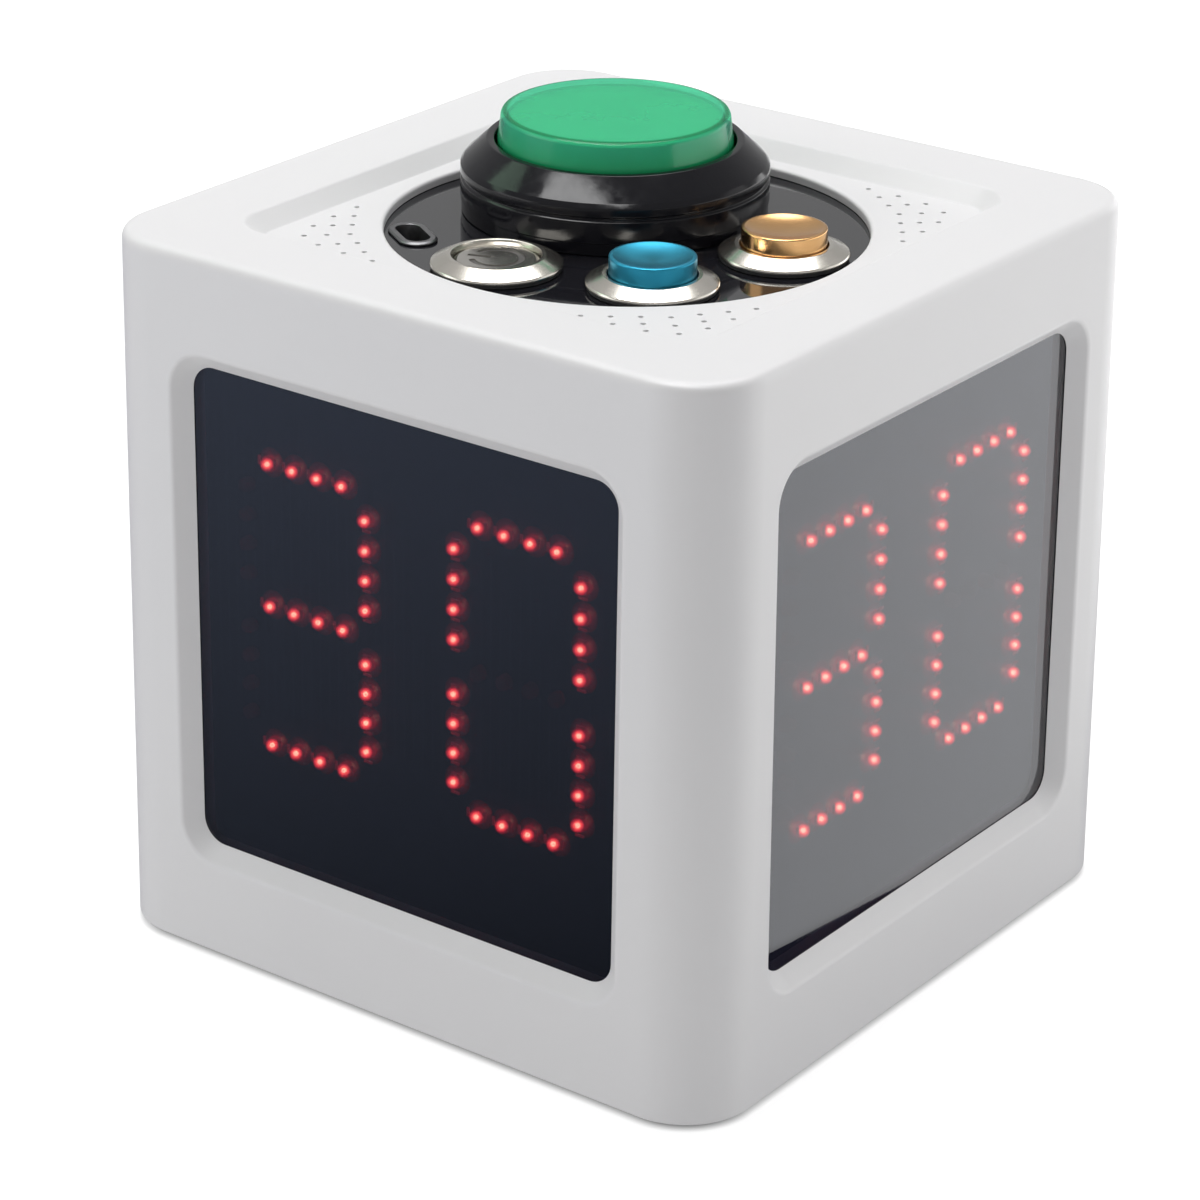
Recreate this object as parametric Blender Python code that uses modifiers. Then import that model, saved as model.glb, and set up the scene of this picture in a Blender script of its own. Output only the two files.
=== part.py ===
"""Four-sided shot clock cube: moulded case, four LED displays and a sunk panel of push buttons.

Lengths are in millimetres here and are scaled to metres as each mesh is made. The origin is under
the middle of the cube on the surface it stands on, +Z is up and the display called front faces -Y.
"""

import math

import bmesh
import bpy
from mathutils import Matrix, Vector

MM = 0.001

# case
FOOT_PROUD = 1.0  # rubber feet below the case's lower edge
CASE_H = 144.1
HALF_TOP = 72.0
HALF_BOTTOM = 73.05
CORNER_R = 14.7
TOP_EDGE_R = 2.4
WALL = 3.2
CEILING = 2.4
Z_LOW = FOOT_PROUD
Z_TOP = Z_LOW + CASE_H
Z_MID = Z_LOW + CASE_H / 2
HALF_MID = (HALF_TOP + HALF_BOTTOM) / 2
DRAFT = math.atan((HALF_BOTTOM - HALF_TOP) / CASE_H)

# square dish in the top, round opening in its floor
DISH_HALF = 54.0
DISH_FLOOR_HALF = 50.3
DISH_R = 9.0
DISH_DEPTH = 3.1
OPENING_R = 46.4
Z_DISH = Z_TOP - DISH_DEPTH
PANEL_SINK = 1.9  # panel face below the dish floor
Z_PANEL = Z_DISH - PANEL_SINK
PANEL_T = 3.0
PANEL_R = 49.6
EAR_AT = 54.5
GAP = 0.15

# windows and what stands behind them
REVEAL_HALF = 52.75
WINDOW_HALF = 49.5
REVEAL_DEPTH = 3.22
STACK_HALF = 53.0
WINDOW_T = 1.8
SPACER_T = 2.6
BOARD_T = 1.6

# speaker holes: (across, along) the diagonal of each corner of the dish
HOLE_R = 0.62
HOLES = [(0, 52.9), (0, 57.3), (0, 61.6)]
for side in (-1, 1):
    HOLES += [(side * 5.4, 52.0), (side * 5.5, 55.7), (side * 5.6, 59.4)]
    HOLES += [(side * 10.7, 51.2), (side * 10.9, 55.1), (side * 16.0, 50.2)]

# main button, set back along the diagonal that runs from the near corner (+X, -Y)
MAIN_BACK = 16.0
MAIN_XY = (-MAIN_BACK / math.sqrt(2), MAIN_BACK / math.sqrt(2))
MAIN_TRAVEL = 4.0
SMALL_TRAVEL = 2.5

# small metal switches: (name, angle from that diagonal, distance from the middle, height of face)
SMALL = [("power", -57.5, 32.2, 2.35), ("start", 0.0, 31.4, 6.4), ("reset", 57.5, 32.2, 6.2)]
SOCKET_XY = (-31.0, -26.6)
SOCKET_TURN = math.radians(-32.5)

BOSS_AT = 63.5
FOOT_AT = 50.0
STANDOFF_AT = 44.0


def reset_scene():
    for obj in list(bpy.data.objects):
        bpy.data.objects.remove(obj)
    for mesh in list(bpy.data.meshes):
        bpy.data.meshes.remove(mesh)


def material(name, colour, rough=0.5, metal=0.0, alpha=1.0):
    mat = bpy.data.materials.new(name)
    mat.use_nodes = True
    shader = mat.node_tree.nodes["Principled BSDF"]
    shader.inputs["Base Color"].default_value = (*colour, 1.0)
    shader.inputs["Roughness"].default_value = rough
    shader.inputs["Metallic"].default_value = metal
    shader.inputs["Alpha"].default_value = alpha
    return mat


reset_scene()
PARTS = bpy.data.collections.new("shot_clock_cube")
CUTTERS = bpy.data.collections.new("cutters")
bpy.context.scene.collection.children.link(PARTS)
bpy.context.scene.collection.children.link(CUTTERS)
CUTTERS.hide_render = True

MATS = {
    "white_abs": material("white_abs", (0.80, 0.80, 0.81), 0.45),
    "smoked_acrylic": material("smoked_acrylic", (0.02, 0.022, 0.03), 0.08, alpha=0.55),
    "black_plastic": material("black_plastic", (0.02, 0.02, 0.022), 0.35),
    "gloss_black": material("gloss_black", (0.012, 0.012, 0.014), 0.08),
    "black_pcb": material("black_pcb", (0.015, 0.02, 0.018), 0.5),
    "green_pcb": material("green_pcb", (0.02, 0.16, 0.07), 0.45),
    "green_cap": material("green_cap", (0.05, 0.62, 0.28), 0.15),
    "white_diffuser": material("white_diffuser", (0.85, 0.87, 0.84), 0.5),
    "stainless": material("stainless", (0.62, 0.60, 0.56), 0.3, 1.0),
    "blue_anodised": material("blue_anodised", (0.03, 0.33, 0.48), 0.3, 1.0),
    "gold_anodised": material("gold_anodised", (0.72, 0.46, 0.20), 0.3, 1.0),
    "spring_steel": material("spring_steel", (0.5, 0.5, 0.5), 0.3, 1.0),
    "rubber": material("rubber", (0.03, 0.03, 0.03), 0.8),
    "screw_steel": material("screw_steel", (0.35, 0.35, 0.36), 0.4, 1.0),
    "battery_wrap": material("battery_wrap", (0.06, 0.14, 0.36), 0.45),
    "lamp_glass": material("lamp_glass", (0.85, 0.88, 0.85), 0.1, alpha=0.6),
}


def add(name, mesh, mat=None, matrix=None):
    """Links a mesh as an object: one with a material is a part, one without is a cutter."""
    obj = bpy.data.objects.new(name, mesh)
    if mat is None:
        CUTTERS.objects.link(obj)
        obj.hide_render = True
        obj.display_type = "WIRE"
    else:
        PARTS.objects.link(obj)
        mesh.materials.clear()
        mesh.materials.append(MATS[mat])
    if matrix is not None:
        obj.matrix_world = matrix
    return obj


def scaled(matrix):
    """The same placement with its shift in metres."""
    out = matrix.copy()
    out.translation = matrix.translation * MM
    return out


def rounded_ring(half_x, half_y, radius, z, steps):
    points = []
    for k, (sx, sy) in enumerate(((1, 1), (-1, 1), (-1, -1), (1, -1))):
        for i in range(steps + 1):
            a = math.radians(90 * k + 90 * i / steps)
            points.append(Vector((
                (sx * (half_x - radius) + radius * math.cos(a)) * MM,
                (sy * (half_y - radius) + radius * math.sin(a)) * MM,
                z * MM,
            )))
    return points


def loft(name, sections, mat=None, matrix=None, steps=4):
    """A solid through rounded rectangles (half_x, half_y, corner radius, z), given bottom to top."""
    bm = bmesh.new()
    rings = [[bm.verts.new(p) for p in rounded_ring(*s, steps)] for s in sections]
    count = len(rings[0])
    bm.faces.new(reversed(rings[0]))
    bm.faces.new(rings[-1])
    for low, high in zip(rings, rings[1:]):
        for i in range(count):
            j = (i + 1) % count
            bm.faces.new((low[i], low[j], high[j], high[i]))
    mesh = bpy.data.meshes.new(name)
    bmesh.ops.remove_doubles(bm, verts=bm.verts, dist=1e-7)
    bm.to_mesh(mesh)
    bm.free()
    return add(name, mesh, mat, matrix)


def turned(name, profile, mat=None, at=(0, 0, 0), steps=32, closed=False):
    """A turned piece from (radius, z) points; the outline of a tubular section is closed."""
    mesh = bpy.data.meshes.new(name)
    points = [(r * MM, 0, z * MM) for r, z in profile]
    edges = [(i, i + 1) for i in range(len(points) - 1)]
    if closed:
        edges.append((len(points) - 1, 0))
    mesh.from_pydata(points, edges, [])
    obj = add(name, mesh, mat, Matrix.Translation(Vector(at) * MM))
    screw = obj.modifiers.new("turn", "SCREW")
    screw.axis = "Z"
    screw.steps = screw.render_steps = steps
    screw.use_merge_vertices = True
    screw.merge_threshold = 1e-6
    screw.use_normal_calculate = True
    return obj


def cylinders(name, items, steps=24, mat=None):
    """Several upright cylinders (x, y, radius, z low, z high) in one mesh."""
    bm = bmesh.new()
    for x, y, radius, low, high in items:
        place = Matrix.Translation(Vector((x, y, (low + high) / 2)) * MM)
        bmesh.ops.create_cone(bm, cap_ends=True, segments=steps, radius1=radius * MM,
                              radius2=radius * MM, depth=(high - low) * MM, matrix=place)
    mesh = bpy.data.meshes.new(name)
    bm.to_mesh(mesh)
    bm.free()
    return add(name, mesh, mat)


def boxes(name, items, mat=None, matrix=None):
    """Several boxes (x low, x high, y low, y high, z low, z high) in one mesh."""
    bm = bmesh.new()
    for x0, x1, y0, y1, z0, z1 in items:
        middle = Vector(((x0 + x1) / 2, (y0 + y1) / 2, (z0 + z1) / 2)) * MM
        size = Matrix.Diagonal(((x1 - x0) * MM, (y1 - y0) * MM, (z1 - z0) * MM, 1))
        bmesh.ops.create_cube(bm, size=1.0, matrix=Matrix.Translation(middle) @ size)
    mesh = bpy.data.meshes.new(name)
    bm.to_mesh(mesh)
    bm.free()
    return add(name, mesh, mat, matrix)


def combine(obj, other, operation):
    """Boolean with the EXACT solver, baked into the object's own mesh."""
    for piece in (obj, other):
        if piece.modifiers:
            bake(piece)
    bool_mod = obj.modifiers.new(operation.lower(), "BOOLEAN")
    bool_mod.operation = operation
    bool_mod.solver = "EXACT"
    bool_mod.object = other
    bake(obj)


def bake(obj):
    bpy.context.view_layer.update()
    graph = bpy.context.evaluated_depsgraph_get()
    mesh = bpy.data.meshes.new_from_object(obj.evaluated_get(graph))
    obj.modifiers.clear()
    old = obj.data
    obj.data = mesh
    if not old.users:
        bpy.data.meshes.remove(old)
    bm = bmesh.new()
    bm.from_mesh(mesh)
    bmesh.ops.remove_doubles(bm, verts=bm.verts, dist=2e-7)
    bmesh.ops.dissolve_degenerate(bm, edges=bm.edges, dist=2e-7)
    bmesh.ops.recalc_face_normals(bm, faces=bm.faces)
    bm.to_mesh(mesh)
    bm.free()
    mesh.name = obj.name


def cut(obj, other):
    combine(obj, other, "DIFFERENCE")


def fuse(obj, other):
    combine(obj, other, "UNION")


def half_at(z):
    return HALF_BOTTOM + (HALF_TOP - HALF_BOTTOM) * (z - Z_LOW) / CASE_H


def side_matrix(k):
    """Frame on the middle of side k: x right, y up, z outwards, leaning with the case's draft."""
    turn = Matrix.Rotation(math.radians(90 * k), 4, "Z")
    lean = Matrix.Rotation(-DRAFT, 4, "X") @ Matrix.Rotation(math.radians(90), 4, "X")
    return scaled(turn @ Matrix.Translation((0, -HALF_MID, Z_MID)) @ lean)


def diagonal(across, along):
    """Point at a distance along the (+X, -Y) diagonal and across it towards (+X, +Y)."""
    s = 1 / math.sqrt(2)
    return ((along + across) * s, (across - along) * s)


def housing():
    """One moulding: draughted cube with an open bottom, window reveals, dish, holes and bosses."""
    sections = [(half_at(Z_LOW) - 0.4, half_at(Z_LOW) - 0.4, CORNER_R - 0.4, Z_LOW),
                (half_at(Z_LOW + 0.4), half_at(Z_LOW + 0.4), CORNER_R, Z_LOW + 0.4)]
    for i in range(5):
        a = math.radians(22.5 * i)
        z = Z_TOP - TOP_EDGE_R * (1 - math.sin(a))
        inset = TOP_EDGE_R * (1 - math.cos(a))
        sections.append((half_at(z) - inset, half_at(z) - inset, CORNER_R - inset, z))
    case = loft("housing", sections, "white_abs", steps=8)

    low, high = Z_LOW - 2, Z_TOP - CEILING
    inner = [(half_at(z) - WALL, half_at(z) - WALL, CORNER_R - WALL, z) for z in (low, high)]
    cut(case, loft("cavity", inner, steps=6))
    under = Z_PANEL + GAP
    fuse(case, loft("dish_underside", [
        (DISH_FLOOR_HALF + 2.3, DISH_FLOOR_HALF + 2.3, DISH_R - 3.7 + 2.3, under),
        (DISH_HALF + 2.0, DISH_HALF + 2.0, DISH_R + 2.0, Z_TOP - 1.2)], steps=6))
    fuse(case, cylinders("panel_bosses", [
        (EAR_AT * math.cos(a), EAR_AT * math.sin(a), 3.6, under + 0.12, Z_TOP - 1.4)
        for a in (0, math.pi / 2, math.pi, 3 * math.pi / 2)], 16))
    fuse(case, cylinders("cover_bosses", [
        (sx * BOSS_AT, sy * BOSS_AT, 5.0, Z_LOW + 3.4, 24) for sx in (-1, 1) for sy in (-1, 1)], 16))
    cut(case, loft("dish", [
        (DISH_FLOOR_HALF, DISH_FLOOR_HALF, DISH_R - 3.7, Z_DISH),
        (DISH_HALF - 0.6, DISH_HALF - 0.6, DISH_R - 0.6, Z_TOP - 0.55),
        (DISH_HALF + 0.3, DISH_HALF + 0.3, DISH_R + 0.3, Z_TOP),
        (DISH_HALF + 1.9, DISH_HALF + 1.9, DISH_R + 1.9, Z_TOP + 1.0)], steps=6))
    cut(case, turned("opening", [
        (0, Z_DISH + 1.0), (OPENING_R + 1.6, Z_DISH + 1.0), (OPENING_R, Z_DISH - 0.6),
        (OPENING_R, under - 2), (0, under - 2)], steps=72))
    holes = []
    for k in range(4):
        for across, along in HOLES:
            x, y = diagonal(across, along)
            for _ in range(k):
                x, y = -y, x
            holes.append((x, y, HOLE_R, under - 1, Z_DISH + 1))
    cut(case, cylinders("speaker_holes", holes, 6))
    pilots = [(sx * BOSS_AT, sy * BOSS_AT, 1.4, Z_LOW + 2, 18) for sx in (-1, 1) for sy in (-1, 1)]
    pilots += [(EAR_AT * math.cos(a), EAR_AT * math.sin(a), 0.97, under - 1, Z_TOP - 1.7)
               for a in (0, math.pi / 2, math.pi, 3 * math.pi / 2)]
    cut(case, cylinders("pilot_holes", pilots, 12))
    for k in range(4):
        cut(case, loft("reveal", [
            (WINDOW_HALF, WINDOW_HALF, 5.0, -9.0),
            (WINDOW_HALF, WINDOW_HALF, 5.0, -REVEAL_DEPTH),
            (REVEAL_HALF + 1.0, REVEAL_HALF + 1.0, 9.0, 1.0)], matrix=side_matrix(k), steps=5))
    return case


def display(k, side):
    """Smoked window, spacer frame and LED board, glued one behind the other inside a wall."""
    frame = side_matrix(k)
    front = -(WALL + GAP)
    back = front - WINDOW_T
    square = (STACK_HALF, STACK_HALF)
    loft("window_" + side, [(*square, 3.0, back), (*square, 3.0, front)],
         "smoked_acrylic", frame, steps=3)
    front, back = back - GAP, back - GAP - SPACER_T
    spacer = loft("spacer_" + side, [(*square, 3.0, back), (*square, 3.0, front)],
                  "black_plastic", frame, steps=3)
    inner = WINDOW_HALF + 0.8
    cut(spacer, loft("spacer_hole", [(inner, inner, 2.0, back - 1), (inner, inner, 2.0, front + 1)],
                     matrix=frame, steps=3))
    front, back = back - GAP, back - GAP - BOARD_T
    loft("display_board_" + side, [(*square, 2.0, back), (*square, 2.0, front)],
         "black_pcb", frame, steps=2)


def bottom_cover():
    low, high = Z_LOW + 0.6, Z_LOW + 3.1
    half = HALF_BOTTOM - WALL - 0.45
    corners = [(sx, sy) for sx in (-1, 1) for sy in (-1, 1)]
    cover = loft("bottom_cover", [(half, half, 11.0, low), (half, half, 11.0, high)],
                 "white_abs", steps=4)
    fuse(cover, cylinders("standoffs", [
        (sx * STANDOFF_AT, sy * STANDOFF_AT, 3.0, high - 0.8, 19.8) for sx, sy in corners], 12))
    cut(cover, cylinders("cover_holes", [
        (sx * BOSS_AT, sy * BOSS_AT, 1.7, low - 1, high + 1) for sx, sy in corners], 12))
    cut(cover, cylinders("cover_sinks", [
        (sx * BOSS_AT, sy * BOSS_AT, 3.7, low - 1, low + 1.2) for sx, sy in corners], 16))
    for i, (sx, sy) in enumerate(corners):
        turned(f"foot_{i + 1}", [(0, low - GAP), (8.0, low - GAP), (8.0, 0.5), (7.5, 0), (0, 0)],
               "rubber", (sx * FOOT_AT, sy * FOOT_AT, 0), 20)
        turned(f"cover_screw_{i + 1}", [
            (0, 14), (1.15, 13.2), (1.15, low + 1.08), (3.3, low + 1.08), (3.3, low + 0.1),
            (0, low + 0.1)], "screw_steel", (sx * BOSS_AT, sy * BOSS_AT, 0), 14)


def socket_matrix(z=0.0):
    spin = Matrix.Rotation(SOCKET_TURN, 4, "Z")
    return scaled(Matrix.Translation((*SOCKET_XY, Z_PANEL + z)) @ spin)


def control_panel():
    """Black disc under the opening, held by four ears, with holes for everything it carries."""
    low = Z_PANEL - PANEL_T
    panel = cylinders("control_panel", [(0, 0, PANEL_R, low, Z_PANEL)], 64, "gloss_black")
    for k in range(2):
        arm = 58.3
        size = (-arm, arm, -4.5, 4.5) if k == 0 else (-4.5, 4.5, -arm, arm)
        fuse(panel, boxes("ears", [(*size, low, Z_PANEL)]))
    holes = [(*MAIN_XY, 13.6, low - 1, Z_PANEL + 1)]
    for _, angle, reach, _ in SMALL:
        holes.append((*switch_xy(angle, reach), 11.15, low - 1, Z_PANEL + 1))
    cut(panel, cylinders("switch_holes", holes, 28))
    quarter = [math.radians(90 * k) for k in range(4)]
    cut(panel, cylinders("ear_holes", [
        (EAR_AT * math.cos(a), EAR_AT * math.sin(a), 1.35, low - 1, Z_PANEL + 1)
        for a in quarter], 12))
    cut(panel, loft("socket_hole", [(6.1, 3.2, 3.1, -PANEL_T - 1), (6.1, 3.2, 3.1, 1)],
                    matrix=socket_matrix(), steps=4))
    for i, a in enumerate(quarter):
        turned(f"panel_screw_{i + 1}", [
            (0, Z_TOP - 2.3), (0.82, Z_TOP - 2.8), (0.82, low - 0.08), (2.2, low - 0.08),
            (2.2, low - 1.5), (0, low - 1.5)], "screw_steel",
            (EAR_AT * math.cos(a), EAR_AT * math.sin(a), 0), 12)


def switch_xy(angle, reach):
    a = math.radians(angle)
    return diagonal(reach * math.sin(a), reach * math.cos(a))


def coil(name, at, mean_r, wire_r, z0, z1, turns, mat="spring_steel", per_turn=10):
    """Compression spring: a round wire on a helix between two heights over the wire's centre."""
    curve = bpy.data.curves.new(name, "CURVE")
    curve.dimensions = "3D"
    curve.bevel_depth = wire_r * MM
    curve.bevel_resolution = 1
    curve.use_fill_caps = True
    spline = curve.splines.new("POLY")
    count = turns * per_turn + 1
    spline.points.add(count - 1)
    for i in range(count):
        a = 2 * math.pi * i / per_turn
        z = z0 + (z1 - z0) * i / (count - 1)
        spline.points[i].co = (mean_r * MM * math.cos(a), mean_r * MM * math.sin(a), z * MM, 1)
    temp = bpy.data.objects.new(name + "_wire", curve)
    CUTTERS.objects.link(temp)
    bpy.context.view_layer.update()
    graph = bpy.context.evaluated_depsgraph_get()
    mesh = bpy.data.meshes.new_from_object(temp.evaluated_get(graph))
    bpy.data.objects.remove(temp)
    bm = bmesh.new()
    bm.from_mesh(mesh)
    bmesh.ops.remove_doubles(bm, verts=bm.verts, dist=1e-6)
    bm.to_mesh(mesh)
    bm.free()
    return add(name, mesh, mat, Matrix.Translation(Vector(at) * MM))


def small_switch(name, angle, reach, face, mat):
    """Metal push switch: chamfered head, barrel, moving plunger, spring, nut, gasket, contacts."""
    x, y = switch_xy(angle, reach)
    at = (x, y, Z_PANEL)
    turned(name + "_body", [
        (8.45, 2.9), (9.3, 2.9), (12.3, 1.45), (12.5, 1.2), (12.5, 0.85), (10.9, 0.85),
        (10.9, -24), (8.2, -24), (8.2, -13), (4.5, -13), (4.5, -9), (8.45, -9)],
        "stainless", at, 32, closed=True)
    if face > 4:
        top = [(0, face - 1.0), (4.5, face - 0.85), (7.1, face - 0.1), (7.6, face), (8.15, face - 0.4)]
    else:
        top = [(0, face - 0.45), (5.0, face - 0.4), (7.3, face - 0.05), (7.8, face), (8.15, face - 0.3)]
    turned(name + "_plunger", top + [(8.15, -3), (3, -3), (3, -12), (0, -12)], mat, at, 28)
    coil(name + "_spring", at, 6.2, 0.42, -8.45, -3.55, 3)
    turned(name + "_gasket", [(11.3, 0.72), (12.2, 0.72), (12.2, 0.12), (11.3, 0.12)],
           "rubber", at, 24, closed=True)
    low = Z_PANEL - PANEL_T - GAP
    nut = cylinders(name + "_nut", [(x, y, 15.0, low - 3.6, low)], 6, "stainless")
    cut(nut, cylinders("nut_bore", [(x, y, 11.15, low - 5, low + 1)], 24))
    block = turned(name + "_contacts", [
        (0, -15.3), (7.9, -15.3), (7.9, -24.25), (10.6, -24.25), (10.6, -26.6), (0, -26.6)],
        "black_plastic", at, 20)
    pins = [(px - 1.4, px + 1.4, py - 0.4, py + 0.4, -32.5, -25.5)
            for px, py in ((-4, 4), (4, 4), (-4, -4), (4, -4))]
    fuse(block, boxes("pins", pins, matrix=scaled(Matrix.Translation(at))))


def main_button():
    """Large arcade button: bezel with barrel, lit cap on a plunger, spring, lamp and microswitch."""
    at = (*MAIN_XY, Z_PANEL)
    place = scaled(Matrix.Translation(at))
    turned("main_body", [
        (23.4, 14.3), (24.8, 14.3), (25.3, 14.05), (29.4, 10.1), (29.85, 9.75), (30.0, 9.3),
        (30.0, 7.7), (29.5, 7.4), (29.5, 7.0), (30.0, 6.7), (30.0, 0.5), (29.7, 0.15),
        (13.3, 0.15), (13.3, -30), (11.5, -30), (11.5, 3.6), (23.4, 3.6)],
        "gloss_black", at, 48, closed=True)
    turned("main_cap", [
        (0, 19.8), (21.3, 19.8), (21.9, 19.6), (22.2, 19.1), (22.8, 14.3), (22.8, 8.3),
        (21.5, 8.3), (21.5, 14.3), (21.0, 18.7), (0, 18.7)], "green_cap", at, 48)
    turned("main_diffuser", [
        (0, 18.4), (20.3, 18.4), (20.7, 18.0), (21.0, 14.3), (21.0, 9.7), (19.6, 9.7),
        (19.6, 14.3), (19.3, 17.0), (0, 17.0)], "white_diffuser", at, 28)
    plunger = turned("main_plunger", [
        (9.0, 9.4), (20.6, 9.4), (20.6, 8.2), (10.8, 8.2), (10.8, -8), (9.0, -8)],
        "black_plastic", at, 28, closed=True)
    fuse(plunger, boxes("leg", [(7.9, 9.9, -1.5, 1.5, -7.5, -3)], matrix=place))
    fuse(plunger, boxes("leg_low", [(7.9, 9.1, -1.45, 1.45, -34, -5)], matrix=place))
    coil("main_spring", at, 9.9, 0.45, -23.45, -8.65, 5, per_turn=12)
    low = -PANEL_T - GAP
    turned("main_nut", [(13.55, low), (17.5, low), (19, low - 1.2), (19, low - 6), (13.55, low - 6)],
           "black_plastic", at, 24, closed=True)
    holder = turned("lamp_holder", [
        (3.2, -24.1), (11.2, -24.1), (11.2, -30.2), (13.3, -30.2), (13.3, -34.4), (3.2, -34.4)],
        "black_plastic", at, 28, closed=True)
    fuse(holder, boxes("cheeks", [
        (-9, 9, 5.4, 6.9, -46, -33.5), (-9, 9, -6.9, -5.4, -46, -33.5)], matrix=place))
    cut(holder, boxes("leg_slot", [(7.4, 9.8, -1.9, 1.9, -36, -23)], matrix=place))
    turned("lamp", [
        (0, -8.5), (2.5, -9.2), (4.2, -11.4), (4.6, -14), (4.6, -22.5), (3.0, -23.4), (3.0, -33.5),
        (0, -33.5)], "lamp_glass", at, 20)
    switch = boxes("microswitch", [(-13.9, 13.9, -5.15, 5.15, -54.3, -38.4)], "black_plastic", place)
    cut(switch, boxes("actuator_pocket", [(6.9, 10.1, -2.6, 2.6, -42, -37)], matrix=place))
    for x in (-11, -2, 10):
        fuse(switch, boxes("tab", [(x - 0.4, x + 0.4, -3.1, 3.1, -61, -53)], matrix=place))
    boxes("switch_actuator", [(7.2, 9.8, -2.2, 2.2, -40.4, -37.0)], "white_diffuser", place)


def charge_socket():
    socket = loft("charge_socket", [
        (5.9, 3.0, 2.9, -9), (5.9, 3.0, 2.9, 0.1), (6.7, 3.8, 3.7, 0.1), (6.7, 3.8, 3.7, 0.35),
        (6.2, 3.3, 3.2, 0.75)], "stainless", socket_matrix())
    cut(socket, loft("socket_bore", [(5.2, 2.4, 2.3, -7), (5.2, 2.4, 2.3, 0.2),
                                     (5.8, 3.0, 2.9, 0.95)], matrix=socket_matrix()))
    fuse(socket, boxes("tongue", [(-3.6, 3.6, -0.4, 0.4, -7.5, -1.6)], matrix=socket_matrix()))


def inner_parts():
    loft("main_board", [(50, 50, 3, 20.0), (50, 50, 3, 21.6)], "green_pcb", steps=2)
    loft("battery_pack", [(31, 20, 1.5, 4.4), (31, 20, 4.0, 6.5), (31, 20, 4.0, 13.5),
                          (31, 20, 1.5, 15.4)], "battery_wrap", steps=3)
    x, y = diagonal(0, 61.5)
    turned("speaker", [(0, 140.05), (9.4, 140.05), (9.4, 137.6), (6.5, 136.8), (6.5, 133.5),
                       (0, 133.5)], "black_plastic", (x, y, 0), 24)


def finish(obj):
    """Bakes what is left and shades round faces smooth while keeping true edges sharp."""
    if obj.modifiers:
        bake(obj)
    bm = bmesh.new()
    bm.from_mesh(obj.data)
    bmesh.ops.recalc_face_normals(bm, faces=bm.faces)
    bm.to_mesh(obj.data)
    bm.free()
    obj.data.shade_smooth()
    obj.data.set_sharp_from_angle(angle=math.radians(28))


housing()
for k, side in enumerate(("front", "right", "back", "left")):
    display(k, side)
bottom_cover()
control_panel()
main_button()
for (name, angle, reach, face), mat in zip(SMALL, ("stainless", "blue_anodised", "gold_anodised")):
    small_switch(name, angle, reach, face, mat)
charge_socket()
inner_parts()
for part in PARTS.objects:
    finish(part)
for helper in list(CUTTERS.objects):
    bpy.data.objects.remove(helper)
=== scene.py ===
"""Looks for the four-sided shot clock cube: satin white case, smoked windows with LED digits, and
the sunk black panel with its arcade button, metal switches and charging socket. Lengths are in
millimetres and are scaled to metres as each mesh is made."""

import math

import bmesh
import bpy
from mathutils import Matrix, Vector

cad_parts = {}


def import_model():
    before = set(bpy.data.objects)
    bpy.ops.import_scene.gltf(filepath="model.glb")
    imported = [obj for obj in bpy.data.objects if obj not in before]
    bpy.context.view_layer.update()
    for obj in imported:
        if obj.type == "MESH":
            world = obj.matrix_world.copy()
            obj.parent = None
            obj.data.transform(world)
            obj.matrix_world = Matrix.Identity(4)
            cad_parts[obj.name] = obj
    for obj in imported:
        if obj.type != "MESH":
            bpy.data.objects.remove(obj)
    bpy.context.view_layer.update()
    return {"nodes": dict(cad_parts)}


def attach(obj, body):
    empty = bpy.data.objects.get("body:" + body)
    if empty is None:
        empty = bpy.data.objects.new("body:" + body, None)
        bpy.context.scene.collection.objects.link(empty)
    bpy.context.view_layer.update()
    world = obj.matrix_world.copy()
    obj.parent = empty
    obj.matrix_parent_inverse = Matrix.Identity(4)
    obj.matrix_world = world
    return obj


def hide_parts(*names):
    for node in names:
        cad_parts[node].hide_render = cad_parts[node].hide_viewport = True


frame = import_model()
NODES = frame["nodes"]
SCENE = bpy.context.scene
MM = 0.001

Z_LOW, CASE_H, HALF_TOP, HALF_BOTTOM = 1.0, 144.1, 72.0, 73.05
Z_TOP = Z_LOW + CASE_H
CORNER_R, TOP_EDGE_R, WALL, CEILING = 14.7, 2.4, 3.2, 2.4
DISH_HALF, DISH_FLOOR_HALF, DISH_R, DISH_DEPTH = 54.0, 50.3, 9.0, 3.1
OPENING_R = 46.4
Z_DISH = Z_TOP - DISH_DEPTH
Z_PANEL = Z_DISH - 1.9
UNDER = Z_PANEL + 0.15
WINDOW_HALF, WINDOW_R, REVEAL_HALF, REVEAL_DEPTH = 49.5, 5.0, 52.75, 3.22
BOARD_DEPTH = 8.05
DIGITS_UP = 3.15  # centre line of the digits, over the middle of a side
BOSS_AT, FOOT_AT = 63.5, 50.0
SOCKET_XY, SOCKET_TURN = (-31.0, -26.6), math.radians(-32.5)
PAST = 0.12  # how far a cutter opens past its rounded edge
DRAFT = math.atan((HALF_BOTTOM - HALF_TOP) / CASE_H)
SIDES = ("front", "right", "back", "left")
MAIN_AT = (-16 / math.sqrt(2), 16 / math.sqrt(2), Z_PANEL)
# Metal switches: bearing from the near corner in degrees, reach from the axis, height of the face
SMALL = {"power": (-57.5, 32.2, 2.35), "start": (0.0, 31.4, 6.4), "reset": (57.5, 32.2, 6.2)}
# Sound holes of one corner: across its diagonal, and along it from the axis
HOLES = [(0, 52.9), (0, 57.3), (0, 61.6)]
for s in (-1, 1):
    HOLES += [(s * 5.4, 52.0), (s * 5.5, 55.7), (s * 5.6, 59.4)]
    HOLES += [(s * 10.7, 51.2), (s * 10.9, 55.1), (s * 16.0, 50.2)]


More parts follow.
